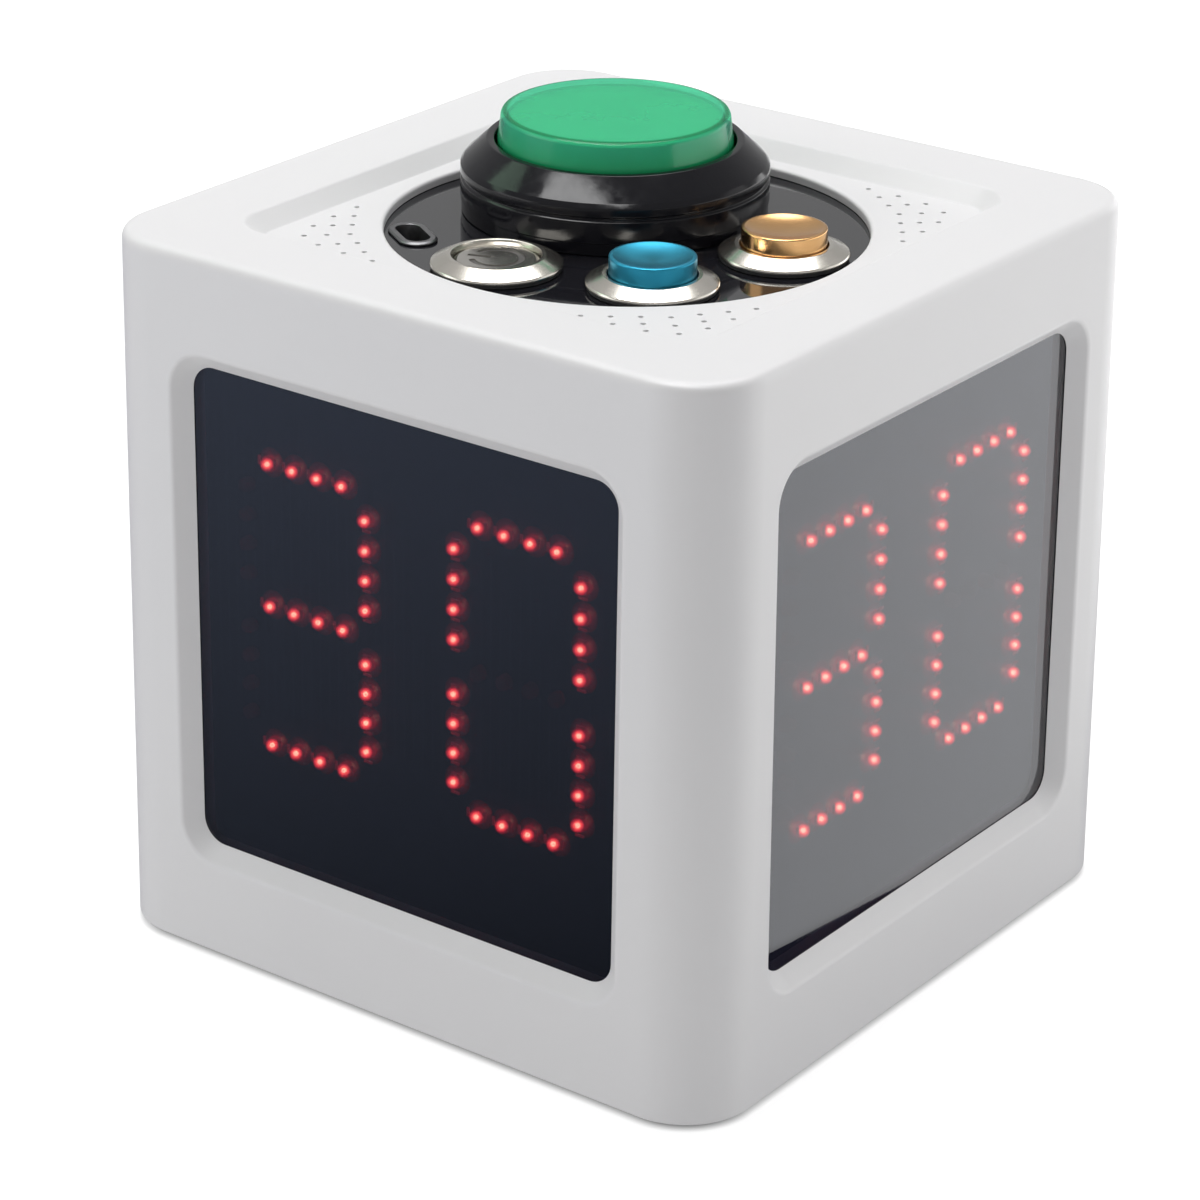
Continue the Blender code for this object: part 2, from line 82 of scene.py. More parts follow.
def diagonal(across, along):
    """Point (x, y) from distances across and along the near corner's diagonal."""
    s = 1 / math.sqrt(2)
    return ((along + across) * s, (across - along) * s)


def switch_at(name):
    angle, reach, _ = SMALL[name]
    a = math.radians(angle)
    return (*diagonal(reach * math.sin(a), reach * math.cos(a)), Z_PANEL)


# ---------------------------------------------------------------- materials

def new_material(name):
    mat = bpy.data.materials.new(name)
    mat.use_nodes = True
    return mat, mat.node_tree, mat.node_tree.nodes["Principled BSDF"]


def noise(tree, vector, scale, detail=3.0, rough=0.55):
    node = tree.nodes.new("ShaderNodeTexNoise")
    node.inputs["Scale"].default_value = scale
    node.inputs["Detail"].default_value = detail
    node.inputs["Roughness"].default_value = rough
    tree.links.new(vector, node.inputs["Vector"])
    return node.outputs["Fac"]


def mixed(tree, factor, low, high):
    node = tree.nodes.new("ShaderNodeMix")
    node.data_type = "RGBA"
    for socket, colour in ((node.inputs[6], low), (node.inputs[7], high)):
        if isinstance(colour, bpy.types.NodeSocket):
            tree.links.new(colour, socket)
        else:
            socket.default_value = (*colour, 1)
    tree.links.new(factor, node.inputs[0])
    return node.outputs[2]


def ranged(tree, value, low, high, start=0.3, end=0.7):
    node = tree.nodes.new("ShaderNodeMapRange")
    for key, number in zip(("From Min", "From Max", "To Min", "To Max"), (start, end, low, high)):
        node.inputs[key].default_value = number
    tree.links.new(value, node.inputs["Value"])
    return node.outputs["Result"]


def maths(tree, operation, a, b):
    node = tree.nodes.new("ShaderNodeMath")
    node.operation = operation
    for socket, value in zip(node.inputs, (a, b)):
        if isinstance(value, (int, float)):
            socket.default_value = value
        else:
            tree.links.new(value, socket)
    return node.outputs[0]


def bumped(tree, shader, height, strength, distance):
    """Bump on a shader's normal, with its distance in millimetres."""
    node = tree.nodes.new("ShaderNodeBump")
    node.inputs["Strength"].default_value = strength
    node.inputs["Distance"].default_value = distance * MM
    tree.links.new(height, node.inputs["Height"])
    tree.links.new(node.outputs["Normal"], shader.inputs["Normal"])


def see_through(tree, shader, cover, tint=None):
    """Ends a material as its shader over plain transparency; cover is the shader's share."""
    through = tree.nodes.new("ShaderNodeBsdfTransparent")
    if tint is not None:
        tree.links.new(tint, through.inputs["Color"])
    share = tree.nodes.new("ShaderNodeMixShader")
    if isinstance(cover, float):
        share.inputs[0].default_value = cover
    else:
        tree.links.new(cover, share.inputs[0])
    tree.links.new(through.outputs[0], share.inputs[1])
    tree.links.new(shader.outputs[0], share.inputs[2])
    tree.links.new(share.outputs[0], tree.nodes["Material Output"].inputs["Surface"])


def radius_from(tree, vector, centre):
    """Distance from the upright axis through a point, in metres."""
    shift = tree.nodes.new("ShaderNodeVectorMath")
    shift.operation = "SUBTRACT"
    shift.inputs[1].default_value = [c * MM for c in centre]
    tree.links.new(vector, shift.inputs[0])
    flat = tree.nodes.new("ShaderNodeVectorMath")
    flat.operation = "MULTIPLY"
    flat.inputs[1].default_value = (1, 1, 0)
    tree.links.new(shift.outputs[0], flat.inputs[0])
    size = tree.nodes.new("ShaderNodeVectorMath")
    size.operation = "LENGTH"
    tree.links.new(flat.outputs[0], size.inputs[0])
    return size.outputs["Value"]


def surface(name, light, dark, rough, spread=0.04, blotch=30, grain=1500, bump=0.05,
            depth=0.2, centre=None, rings=0, uniform=()):
    """Principled material: blotchy colour, grainy roughness and bump, and turned rings on metal."""
    mat, tree, shader = new_material(name)
    place = tree.nodes.new("ShaderNodeTexCoord").outputs["Object"]
    cloud = noise(tree, place, blotch)
    fine = noise(tree, place, grain, 2)
    tree.links.new(mixed(tree, cloud, dark, light), shader.inputs["Base Color"])
    height = fine
    if rings:
        groove = tree.nodes.new("ShaderNodeTexNoise")
        groove.noise_dimensions = "1D"
        groove.inputs["Scale"].default_value = rings
        groove.inputs["Detail"].default_value = 2
        tree.links.new(radius_from(tree, place, centre), groove.inputs["W"])
        height = maths(tree, "ADD", maths(tree, "MULTIPLY", fine, 0.25), groove.outputs["Fac"])
        fine = groove.outputs["Fac"]
    tree.links.new(ranged(tree, fine, rough - spread, rough + spread), shader.inputs["Roughness"])
    bumped(tree, shader, height, bump, depth)
    for key, value in dict(uniform).items():
        shader.inputs[key].default_value = value
    return mat


def lined_board(name, base, trace, pitch, gloss=0.5):
    """Circuit board: solder mask over tracks that run in blocks, with a fine weave."""
    mat, tree, shader = new_material(name)
    place = tree.nodes.new("ShaderNodeTexCoord").outputs["Object"]
    brick = tree.nodes.new("ShaderNodeTexBrick")
    brick.inputs["Scale"].default_value = pitch
    brick.inputs["Mortar Size"].default_value = 0.035
    for key, colour in (("Color1", base), ("Color2", [c * 0.8 for c in base]), ("Mortar", trace)):
        brick.inputs[key].default_value = (*colour, 1)
    tree.links.new(place, brick.inputs["Vector"])
    tree.links.new(brick.outputs["Color"], shader.inputs["Base Color"])
    weave = noise(tree, place, 2500)
    tree.links.new(ranged(tree, weave, 0.35, 0.55), shader.inputs["Roughness"])
    shader.inputs["Specular IOR Level"].default_value = gloss
    bumped(tree, shader, brick.outputs["Fac"], 0.2, 0.05)
    return mat


def glowing(name, strength):
    """Lit resin: how much it glows and how far it can be seen through come from the mesh."""
    mat, tree, shader = new_material(name)
    colour = tree.nodes.new("ShaderNodeVertexColor")
    colour.layer_name = "glow"
    place = tree.nodes.new("ShaderNodeTexCoord").outputs["Object"]
    tree.links.new(mixed(tree, noise(tree, place, 900), (0.10, 0.008, 0.01), (0.16, 0.012, 0.014)),
                   shader.inputs["Base Color"])
    tree.links.new(colour.outputs["Color"], shader.inputs["Emission Color"])
    shader.inputs["Emission Strength"].default_value = strength
    tree.links.new(ranged(tree, noise(tree, place, 1800), 0.15, 0.3), shader.inputs["Roughness"])
    see_through(tree, shader, colour.outputs["Alpha"])
    return mat


def clear(name, low, high, rough, ior):
    mat, tree, shader = new_material(name)
    place = tree.nodes.new("ShaderNodeTexCoord").outputs["Object"]
    tree.links.new(mixed(tree, noise(tree, place, 25), low, high), shader.inputs["Base Color"])
    tree.links.new(ranged(tree, noise(tree, place, 60, 5), rough * 0.5, rough * 1.6),
                   shader.inputs["Roughness"])
    bumped(tree, shader, noise(tree, place, 35, 1), 0.02, 0.05)
    shader.inputs["Transmission Weight"].default_value = 1.0
    shader.inputs["IOR"].default_value = ior
    shader.inputs["Specular Tint"].default_value = (0.92, 0.94, 1.0, 1)
    return mat


def cap_plastic(name):
    """Clear green moulding: tinted light passes straight through, with some body colour and gloss.
    Painted shade: the colour darkens down the side and in a thin dark line round the top, where a
    clear edge looks dark."""
    mat, tree, shader = new_material(name)
    place = tree.nodes.new("ShaderNodeTexCoord").outputs["Object"]
    parts = tree.nodes.new("ShaderNodeSeparateXYZ")
    tree.links.new(place, parts.inputs[0])
    low, high = (MAIN_AT[2] + 13.5) * MM, (MAIN_AT[2] + 19.0) * MM
    # Painted shade: body colour and tint darken lower down the side.
    side = ranged(tree, parts.outputs["Z"], 0.5, 1, low, high)
    reach = radius_from(tree, place, MAIN_AT)
    # Painted shade: a thin dark ring where the top turns into the side.
    painted_rim_shade = maths(tree, "MULTIPLY", ranged(tree, reach, 0, 1, 20.6 * MM, 21.2 * MM),
                 ranged(tree, reach, 1, 0, 21.7 * MM, 22.0 * MM))
    painted_rim_shade = maths(tree, "MULTIPLY", painted_rim_shade, 0.75)
    body = mixed(tree, noise(tree, place, 60), (0.055, 0.62, 0.37), (0.068, 0.69, 0.42))
    dim = tree.nodes.new("ShaderNodeMix")
    dim.data_type, dim.blend_type = "RGBA", "MULTIPLY"
    dim.inputs[0].default_value = 1.0
    tree.links.new(body, dim.inputs[6])
    shade = mixed(tree, side, (0.10, 1.0, 0.30), (1, 1, 1))
    tree.links.new(mixed(tree, painted_rim_shade, shade, (0.08, 0.30, 0.20)), dim.inputs[7])
    tree.links.new(dim.outputs[2], shader.inputs["Base Color"])
    tree.links.new(ranged(tree, noise(tree, place, 300, 4), 0.14, 0.17), shader.inputs["Roughness"])
    bumped(tree, shader, noise(tree, place, 60, 1), 0.03, 0.1)
    tint = mixed(tree, side, (0.02, 1.0, 0.25), (0.32, 0.98, 0.68))
    see_through(tree, shader, 0.5, mixed(tree, painted_rim_shade, tint, (0.02, 0.30, 0.15)))
    return mat


STEEL = {"Metallic": 1.0, "Anisotropic": 0.3}
PLAIN_METAL = {"Metallic": 1.0}
M = {
    "white": surface("white_abs", (0.80, 0.798, 0.80), (0.768, 0.766, 0.772), 0.42, 0.05, 14, 2600,
                     0.10, 0.06),
    "panel": surface("gloss_panel", (0.012, 0.012, 0.015), (0.008, 0.008, 0.011), 0.05, 0.02, 40,
                     500, 0.02, 0.05, uniform={"Coat Weight": 0.3, "Coat Roughness": 0.03}),
    "bezel": surface("bezel_plastic", (0.010, 0.010, 0.013), (0.005, 0.005, 0.007), 0.14, 0.05, 60,
                     420, 0.10, 0.15, uniform={"Specular IOR Level": 0.22}),
    "diffuser": surface("cap_diffuser", (0.86, 0.90, 0.86), (0.78, 0.84, 0.79), 0.45, 0.06, 50,
                        1500, 0.05, 0.1),
    "frame": surface("frame_plastic", (0.32, 0.32, 0.36), (0.26, 0.26, 0.30), 0.42, 0.08, 60, 1800,
                     0.12, 0.1),
    "black": surface("black_plastic", (0.030, 0.030, 0.033), (0.016, 0.016, 0.018), 0.42, 0.08, 60,
                     1800, 0.12, 0.1),
    "rubber": surface("foot_rubber", (0.035, 0.035, 0.036), (0.018, 0.018, 0.019), 0.75, 0.08, 90,
                      1300, 0.3, 0.15),
    "screw": surface("zinc_screw", (0.52, 0.52, 0.54), (0.36, 0.36, 0.38), 0.34, 0.08, 200, 1600,
                     0.1, 0.05, uniform=PLAIN_METAL),
    "spring": surface("spring_wire", (0.60, 0.60, 0.60), (0.42, 0.42, 0.42), 0.26, 0.06, 300, 1800,
                      0.1, 0.05, uniform=PLAIN_METAL),
    "nut": surface("nut_steel", (0.58, 0.57, 0.54), (0.44, 0.43, 0.41), 0.3, 0.08, 120, 1400, 0.12,
                   0.06, uniform=PLAIN_METAL),
    "wrap": surface("battery_wrap", (0.05, 0.16, 0.42), (0.03, 0.11, 0.32), 0.28, 0.08, 40, 160,
                    0.25, 0.5),
    "black_pcb": lined_board("black_board", (0.012, 0.013, 0.024), (0.018, 0.020, 0.034), 220,
                             0.15),
    "green_pcb": lined_board("green_board", (0.015, 0.16, 0.06), (0.03, 0.26, 0.10), 160),
    "ink": surface("symbol_ink", (0.09, 0.085, 0.08), (0.06, 0.058, 0.055), 0.5, 0.08, 400, 2000,
                   0.1, 0.05),
    "window": clear("smoked_acrylic", (0.26, 0.27, 0.31), (0.31, 0.32, 0.36), 0.02, 1.46),
    "lamp": clear("lamp_lens", (0.80, 0.84, 0.80), (0.90, 0.93, 0.90), 0.05, 1.5),
    "cap": cap_plastic("green_cap"),
    "glow": glowing("led_resin", 1.0),
}


def turned_metal(name, at, light, dark, rough, shine=STEEL):
    return surface(name, light, dark, rough, 0.03, 150, 900, 0.05, 0.03, at, 5000, shine)


# ---------------------------------------------------------------- mesh helpers

def softened(points, steps=4):
    """Outline of (a, b) or (a, b, radius) points with those corners rounded off."""
    out = []
    for i, point in enumerate(points):
        radius = point[2] if len(point) > 2 else 0
        if not radius or i in (0, len(points) - 1):
            out.append((point[0], point[1]))
            continue
        p, a, b = (Vector(q[:2]) for q in (point, points[i - 1], points[i + 1]))
        u, v = (a - p).normalized(), (b - p).normalized()
        half = math.acos(max(-1, min(1, u.dot(v)))) / 2
        reach = min(radius / math.tan(half), 0.49 * (a - p).length, 0.49 * (b - p).length)
        for k in range(steps + 1):
            t = k / steps
            q = (1 - t) ** 2 * (p + u * reach) + 2 * t * (1 - t) * p + t * t * (p + v * reach)
            out.append((q.x, q.y))
    return out


def finish_mesh(bm, name, sharp=32):
    bmesh.ops.remove_doubles(bm, verts=bm.verts, dist=1e-7)
    bmesh.ops.recalc_face_normals(bm, faces=bm.faces)
    mesh = bpy.data.meshes.new(name)
    bm.to_mesh(mesh)
    bm.free()
    mesh.shade_smooth()
    mesh.set_sharp_from_angle(angle=math.radians(sharp))
    return mesh


def show(name, mesh, mat, body="case", node=()):
    obj = bpy.data.objects.new(name, mesh)
    SCENE.collection.objects.link(obj)
    mesh.materials.clear()
    mesh.materials.append(mat)
    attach(obj, body)
    if node:
        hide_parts(*([node] if isinstance(node, str) else node))
    return obj


def bridge(bm, pairs, count):
    """Faces between pairs of rings of count points, where a ring may be one point."""
    for a, b in pairs:
        for i in range(count):
            j = (i + 1) % count
            loop = [a[i % len(a)], a[j % len(a)], b[j % len(b)], b[i % len(b)]]
            loop = list(dict.fromkeys(loop))
            if len(loop) > 2:
                bm.faces.new(loop)


def lathe_mesh(name, profile, at=(0, 0, 0), steps=96, closed=False, sharp=32):
    """Turned mesh from (radius, z) points, with the axis through a point."""
    bm = bmesh.new()
    rings = []
    for r, z in profile:
        count = 1 if r < 1e-6 else steps
        rings.append([bm.verts.new(((at[0] + r * math.cos(2 * math.pi * i / steps)) * MM,
                                    (at[1] + r * math.sin(2 * math.pi * i / steps)) * MM,
                                    (at[2] + z) * MM)) for i in range(count)])
    bridge(bm, list(zip(rings, rings[1:])) + ([(rings[-1], rings[0])] if closed else []), steps)
    return finish_mesh(bm, name, sharp)


def ring_points(half_x, half_y, radius, z, steps):
    out = []
    for k, (sx, sy) in enumerate(((1, 1), (-1, 1), (-1, -1), (1, -1))):
        for i in range(steps + 1):
            a = math.radians(90 * (k + i / steps))
            out.append(Vector(((sx * (half_x - radius) + radius * math.cos(a)) * MM,
                               (sy * (half_y - radius) + radius * math.sin(a)) * MM, z * MM)))
    return out


def loft_mesh(name, sections, matrix=None, steps=8, sharp=32):
    """Solid through rounded rectangles (half_x, half_y, corner radius, z), bottom to top."""
    bm = bmesh.new()
    rings = [[bm.verts.new(p) for p in ring_points(*s, steps)] for s in sections]
    bm.faces.new(reversed(rings[0]))
    bm.faces.new(rings[-1])
    for low, high in zip(rings, rings[1:]):
        for i in range(len(low)):
            j = (i + 1) % len(low)
            bm.faces.new((low[i], low[j], high[j], high[i]))
    if matrix is not None:
        bmesh.ops.transform(bm, matrix=matrix, verts=bm.verts)
    return finish_mesh(bm, name, sharp)


def box_mesh(name, items, matrix=None):
    bm = bmesh.new()
    for x0, x1, y0, y1, z0, z1 in items:
        place = Matrix.Translation(Vector(((x0 + x1) / 2, (y0 + y1) / 2, (z0 + z1) / 2)) * MM)
        bmesh.ops.create_cube(bm, size=1.0, matrix=place @ Matrix.Diagonal(
            ((x1 - x0) * MM, (y1 - y0) * MM, (z1 - z0) * MM, 1)))
    if matrix is not None:
        bmesh.ops.transform(bm, matrix=matrix, verts=bm.verts)
    return finish_mesh(bm, name)


def rods_mesh(name, items, steps):
    bm = bmesh.new()
    for x, y, r, low, high in items:
        bmesh.ops.create_cone(bm, cap_ends=True, segments=steps, radius1=r * MM, radius2=r * MM,
                              depth=(high - low) * MM,
                              matrix=Matrix.Translation(Vector((x, y, (low + high) / 2)) * MM))
    return finish_mesh(bm, name)


def combined(mesh, steps, sharp=32):
    """The mesh after EXACT Booleans with each (operation, other mesh), in order."""
    work = bpy.data.objects.new("work", mesh)
    tool = bpy.data.objects.new("tool", mesh)
    for obj in (work, tool):
        SCENE.collection.objects.link(obj)
    for operation, other in steps:
        tool.data = other
        mod = work.modifiers.new("cut", "BOOLEAN")
        mod.operation, mod.solver, mod.object = operation, "EXACT", tool
        bpy.context.view_layer.update()
        graph = bpy.context.evaluated_depsgraph_get()
        result = bpy.data.meshes.new_from_object(work.evaluated_get(graph))
        work.modifiers.clear()
        bm = bmesh.new()
        bm.from_mesh(result)
        bmesh.ops.dissolve_degenerate(bm, edges=bm.edges, dist=2e-7)
        work.data = finish_mesh(bm, mesh.name, sharp)
    result = work.data
    for obj in (work, tool):
        bpy.data.objects.remove(obj)
    return result


def side_matrix(k):
    """Frame on the middle of side k: x right, y up, z outwards, leaning with the case's draft."""
    turn = Matrix.Rotation(math.radians(90 * k), 4, "Z")
    half = (HALF_TOP + HALF_BOTTOM) / 2
    shift = Matrix.Translation(Vector((0, -half, Z_LOW + CASE_H / 2)) * MM)
    lean = Matrix.Rotation(-DRAFT, 4, "X") @ Matrix.Rotation(math.radians(90), 4, "X")
    return turn @ shift @ lean


def weighted(obj):
    mod = obj.modifiers.new("even_normals", "WEIGHTED_NORMAL")
    mod.keep_sharp = True
    mod.weight = 100


# ---------------------------------------------------------------- case

def half_at(z):
    return HALF_BOTTOM + (HALF_TOP - HALF_BOTTOM) * (z - Z_LOW) / CASE_H


def case_shell():
    sections = []
    edges = softened([(2.5, Z_LOW), (0, Z_LOW, 0.7), (0, Z_TOP, TOP_EDGE_R), (5, Z_TOP)], 8)
    for inset, z in edges[1:-1]:
        half = half_at(z) - inset
        sections.append((half, half, CORNER_R - inset, z))
    inner = [(half_at(z) - WALL, half_at(z) - WALL, CORNER_R - WALL, z)
             for z in (Z_LOW - 2, Z_TOP - CEILING)]
    dish = softened([(DISH_FLOOR_HALF - 2, Z_DISH), (DISH_FLOOR_HALF + 0.05, Z_DISH, 0.7),
                     (DISH_HALF - 0.05, Z_TOP, 1.3), (DISH_HALF + 3, Z_TOP)], 6)[1:-1]
    dish = [(h, h, DISH_R + h - DISH_HALF, z) for h, z in dish]
    h = dish[-1][0] + PAST
    dish.append((h, h, DISH_R + h - DISH_HALF, Z_TOP + 0.4))
    lip = softened([(OPENING_R + 4, Z_DISH), (OPENING_R, Z_DISH, 0.8),
                    (OPENING_R, UNDER - 2)], 6)[1:]
    lip = [(0, Z_DISH + 0.4), (lip[0][0] + PAST, Z_DISH + 0.4)] + lip + [(0, UNDER - 2)]
    holes = []
    for k in range(4):
        for across, along in HOLES:
            x, y = diagonal(across, along)
            for _ in range(k):
                x, y = -y, x
            holes.append((x, y, 0.55, Z_DISH - 1.3, Z_DISH + 1))
    steps = [
        ("DIFFERENCE", loft_mesh("cavity", inner, steps=10)),
        ("UNION", loft_mesh("underside", [
            (DISH_FLOOR_HALF + 2.3, DISH_FLOOR_HALF + 2.3, DISH_R - 1.4, UNDER),
            (DISH_HALF + 2.0, DISH_HALF + 2.0, DISH_R + 2.0, Z_TOP - 1.2)], steps=10)),
        ("UNION", rods_mesh("bosses", [(sx * BOSS_AT, sy * BOSS_AT, 5.0, Z_LOW + 3.4, 24)
                                       for sx in (-1, 1) for sy in (-1, 1)], 24)),
        ("DIFFERENCE", loft_mesh("dish", dish, steps=12)),
        ("DIFFERENCE", lathe_mesh("opening", lip, steps=144)),
        ("DIFFERENCE", rods_mesh("sound_holes", holes, 14)),
    ]
    reveal = softened([(WINDOW_HALF, -9), (WINDOW_HALF, -REVEAL_DEPTH, 0.25),
                       (REVEAL_HALF, 0, 1.5), (REVEAL_HALF + 4, 0)], 6)[:-1]
    reveal = [(h, h, WINDOW_R + h - WINDOW_HALF, z) for h, z in reveal]
    h = reveal[-1][0] + PAST
    reveal.append((h, h, WINDOW_R + h - WINDOW_HALF, 0.4))
    for k in range(4):
        steps.append(("DIFFERENCE", loft_mesh("reveal", reveal, side_matrix(k), 10)))
    mesh = combined(loft_mesh("case_shell", sections, steps=18), steps)
    weighted(show("case_shell", mesh, M["white"], "case", "housing"))


# ---------------------------------------------------------------- displays

SEGMENTS = {"3": "abcdg", "0": "abcdef"}
DIGIT_W, DIGIT_H = 29.0, 29.0  # one segment's length across and up
LED_R, BARREL = 1.5, 1.15
# Outline of an LED, a dome on a short barrel: radius, height over the board
DOME = [(LED_R, 0.0)] + [(LED_R * math.cos(a), BARREL + LED_R * math.sin(a))
                         for a in map(math.radians, (0, 10, 22, 35, 48, 60, 75, 90))]
LIT_DOME, UNLIT_DOME = ((0.80, 0.012, 0.045), 0.24), ((0.008, 0.0008, 0.0015), 0.4)
GLOW_Z = 1.35  # height of the light in an LED, over the board
# See-through balls of light inside one another: radius, cover, colour
BALLS = [(1.22, 0.33, (2.6, 0.06, 0.14)), (0.92, 0.48, (5.4, 0.55, 0.44)),
         (0.52, 1.0, (9.5, 6.0, 3.6))]
SPILL = [(1.4, 0.06), (2.1, 0.035), (3.0, 0.0)]  # light thrown on the board: radius, level
# Painted glints: glowing bars for LED light caught on the edges of an LED's flange, on level and on
# upright segments: place, width and height
FLANGES_ACROSS = [(s * 1.9, 0.5, 0.55, 1.8) for s in (-1, 1)]
FLANGES_UP = [(0.5, 1.9, 1.9, 0.5), (0.5, -1.9, 1.9, 0.5)]
FLANGE_LIGHT = (0.20, 0.005, 0.016)


def segment_points(letter):
    """Centres of the four LEDs of a segment, and whether it lies across."""
    w, h = DIGIT_W / 2, DIGIT_H
    level = {"a": h, "g": 0, "d": -h}
    steps = (5.5, 11.5, 17.5, 23.5)
    if letter in level:
        return [(-w + s, level[letter]) for s in steps], True
    x = w if letter in "bc" else -w
    top = h if letter in "bf" else 0
    return [(x, top - s) for s in steps], False


def led_array(k, side):
    """Domed LEDs of two digits on the front of a board, with the light they throw on it."""
    bm = bmesh.new()
    layer = bm.verts.layers.float_color.new("glow")

    def fan(x, y, rings, colours, cover=1.0, sx=1.0, sy=1.0, count=14):
        made = []
        for (r, z), colour in zip(rings, colours):
            n = 1 if r < 1e-6 else count
            ring = []
            for i in range(n):
                a = 2 * math.pi * i / count
                v = bm.verts.new(((x + sx * r * math.cos(a)) * MM,
                                  (y + sy * r * math.sin(a)) * MM, z * MM))
                v[layer] = (*colour, cover)
                ring.append(v)
            made.append(ring)
        bridge(bm, list(zip(made, made[1:])), count)
        return made

    def painted_flange_glint(x, y, w, h):
        """Painted glint: a thin glowing bar part way up the side of an LED's flange, for LED light
        caught on its edge.
        """
        corners = [bm.verts.new(((x + sx * w / 2) * MM, (y + sy * h / 2) * MM, z * MM))
                   for z in (1.2, 1.5) for sx, sy in ((-1, -1), (1, -1), (1, 1), (-1, 1))]
        for v in corners:
            v[layer] = (*FLANGE_LIGHT, 1)
        for loop in ((3, 2, 1, 0), (4, 5, 6, 7), (0, 1, 5, 4), (1, 2, 6, 5), (2, 3, 7, 6),
                     (3, 0, 4, 7)):
            bm.faces.new([corners[i] for i in loop])

    for digit, centre in (("3", -25.0), ("0", 25.0)):
        for letter in "abcdefg":
            lit = letter in SEGMENTS[digit]
            points, across = segment_points(letter)
            for x, y in points:
                x, y = x + centre, y + DIGITS_UP
                wide, tall = (0.94, 1.06) if across else (1.06, 0.94)
                shade, cover = LIT_DOME if lit else UNLIT_DOME
                made = fan(x, y, DOME, [shade] * len(DOME), cover, wide, tall)
                bm.faces.new(reversed(made[0]))
                if lit:
                    for r, cover, shade in BALLS:
                        arc = [math.radians(30 * i) for i in range(7)]
                        fan(x, y, [(r * math.sin(a), GLOW_Z - r * math.cos(a)) for a in arc],
                            [shade] * 7, cover, count=12)
                    fan(x, y, [(r, 0.02) for r, _ in SPILL],
                        [(c, c * 0.05, c * 0.16) for _, c in SPILL])
                    for dx, dy, w, h in (FLANGES_ACROSS if across else FLANGES_UP):
                        painted_flange_glint(x + dx, y + dy, w, h)
    bmesh.ops.recalc_face_normals(bm, faces=bm.faces)
    place = side_matrix(k) @ Matrix.Translation((0, 0, -(BOARD_DEPTH - 0.02) * MM))
    bmesh.ops.transform(bm, matrix=place, verts=bm.verts)
    mesh = bpy.data.meshes.new("led_array_" + side)
    bm.to_mesh(mesh)
    bm.free()
    mesh.shade_smooth()
    show("led_array_" + side, mesh, M["glow"], "case", ())


# ---------------------------------------------------------------- top panel

def main_button():
    body = softened([
        (23.4, 3.6), (23.4, 14.3, 0.35), (24.9, 14.3, 0.5), (29.3, 10.2, 0.5), (30.0, 9.3, 0.6),
        (30.0, 7.75, 0.2), (29.55, 7.4, 0.15), (29.55, 7.0, 0.15), (30.0, 6.65, 0.2),
        (30.0, 2.6, 0.1), (29.8, 2.35, 0.1), (29.8, 0.15, 0.2), (13.3, 0.15), (13.3, -30),
        (11.5, -30), (11.5, 3.6), (23.4, 3.6)])[:-1]
    show("main_bezel", lathe_mesh("main_bezel", body, MAIN_AT, 160, True), M["bezel"], "case",
         "main_body")
    cap = softened([
        (0, 19.8), (20.6, 19.8, 0.2), (21.2, 19.72, 0.2), (21.9, 19.55, 0.7), (22.2, 18.9, 0.4),
        (22.75, 14.5, 0.3), (22.8, 14.0, 0.3), (22.8, 8.3, 0.2), (21.5, 8.3, 0.2), (21.5, 14.3),
        (21.0, 18.7, 0.3), (0, 18.7)])
    show("main_cap_shell", lathe_mesh("main_cap_shell", cap, MAIN_AT, 160), M["cap"],
         "main_button", "main_cap")
    disc = softened([
        (0, 18.4), (20.3, 18.4, 0.4), (20.7, 18.0, 0.3), (21.0, 14.3), (21.0, 9.7, 0.2),
        (19.6, 9.7, 0.2), (19.6, 14.3), (19.3, 17.0, 0.3), (0, 17.0)])
    show("main_cap_disc", lathe_mesh("main_cap_disc", disc, MAIN_AT, 128), M["diffuser"],
         "main_button", "main_diffuser")


def power_symbol(at, face, low=-0.8, high=1.0):
    """Open ring and bar: thin upright tools that cut a shallow groove, or the paint in it."""
    bm = bmesh.new()
    turn, gap, inner, outer = math.radians(200), math.radians(27), 4.1, 5.3
    count = 44
    loops = []
    for i in range(count + 1):
        a = turn + gap + (2 * math.pi - 2 * gap) * i / count
        loops.append([bm.verts.new(((at[0] + r * math.cos(a)) * MM, (at[1] + r * math.sin(a)) * MM,
                                    (at[2] + z) * MM))
                      for r, z in ((inner, face + low), (outer, face + low), (outer, face + high),
                                   (inner, face + high))])
    for a, b in zip(loops, loops[1:]):
        for i in range(4):
            j = (i + 1) % 4
            bm.faces.new((a[i], a[j], b[j], b[i]))
    bm.faces.new(loops[0])
    bm.faces.new(loops[-1])
    ring = finish_mesh(bm, "ring_tool")
    place = Matrix.Translation(Vector((at[0], at[1], at[2])) * MM) @ Matrix.Rotation(turn, 4, "Z")
    bar = box_mesh("bar_tool", [(1.2, 5.6, -0.5, 0.5, face + low, face + high)], place)
    return ring, bar


